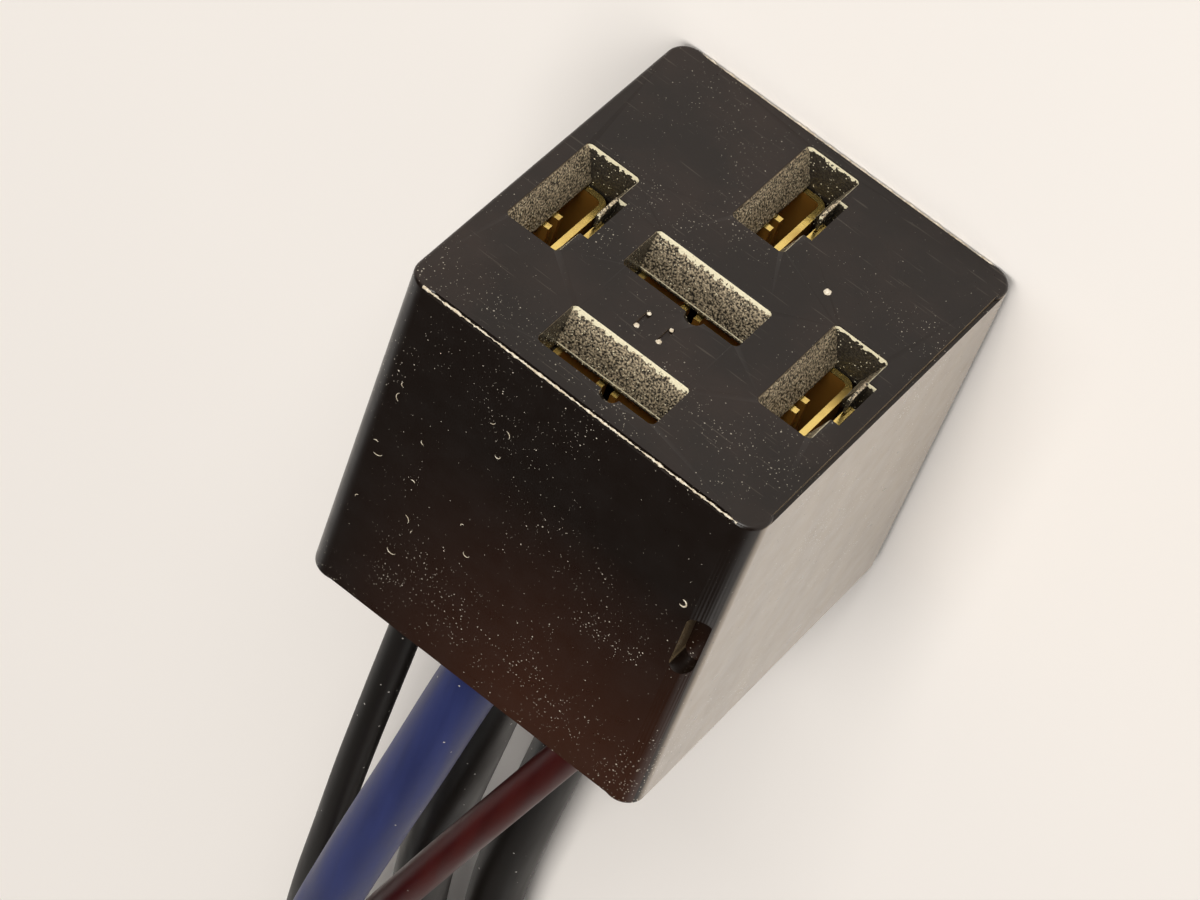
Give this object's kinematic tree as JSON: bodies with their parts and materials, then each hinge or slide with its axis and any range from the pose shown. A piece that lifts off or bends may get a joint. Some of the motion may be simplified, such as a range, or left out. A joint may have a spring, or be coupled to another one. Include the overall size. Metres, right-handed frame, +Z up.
{
  "type": "five-way relay socket with leads",
  "caption": "Moulded block socket for a five-blade plug-in relay, with brass receptacles in its slots and insulated leads out of the back, ends stripped.",
  "frame": {"origin": "centre of the block's lower side, on the surface that it lies on; the leads don't count", "axes": "+Z up; the mating face with its slots looks along -Y; the leads leave the back along +Y; +X is to the right as one looks into the slots"},
  "size_m": [0.0245, 0.1511, 0.0265],
  "materials": {
    "housing_plastic": "semi-matt black moulded plastic, scuffed and dusty",
    "terminal_brass": "bright stamped brass",
    "jacket_black": "smooth black lead insulation",
    "jacket_red": "smooth dark red lead insulation",
    "jacket_blue": "smooth blue lead insulation",
    "conductor_copper": "bare stranded copper"
  },
  "bodies": {
    "root": {"housing": "housing_plastic", "terminal_86": "terminal_brass", "terminal_85": "terminal_brass", "terminal_87a": "terminal_brass", "terminal_87": "terminal_brass", "terminal_30": "terminal_brass", "lead_86_black": "jacket_black", "lead_87a_black": "jacket_black", "lead_30_black": "jacket_black", "lead_85_red": "jacket_red", "lead_87_blue": "jacket_blue", "conductor_86": "conductor_copper", "conductor_85": "conductor_copper", "conductor_87a": "conductor_copper", "conductor_87": "conductor_copper", "conductor_30": "conductor_copper"}
  },
  "joints": []
}
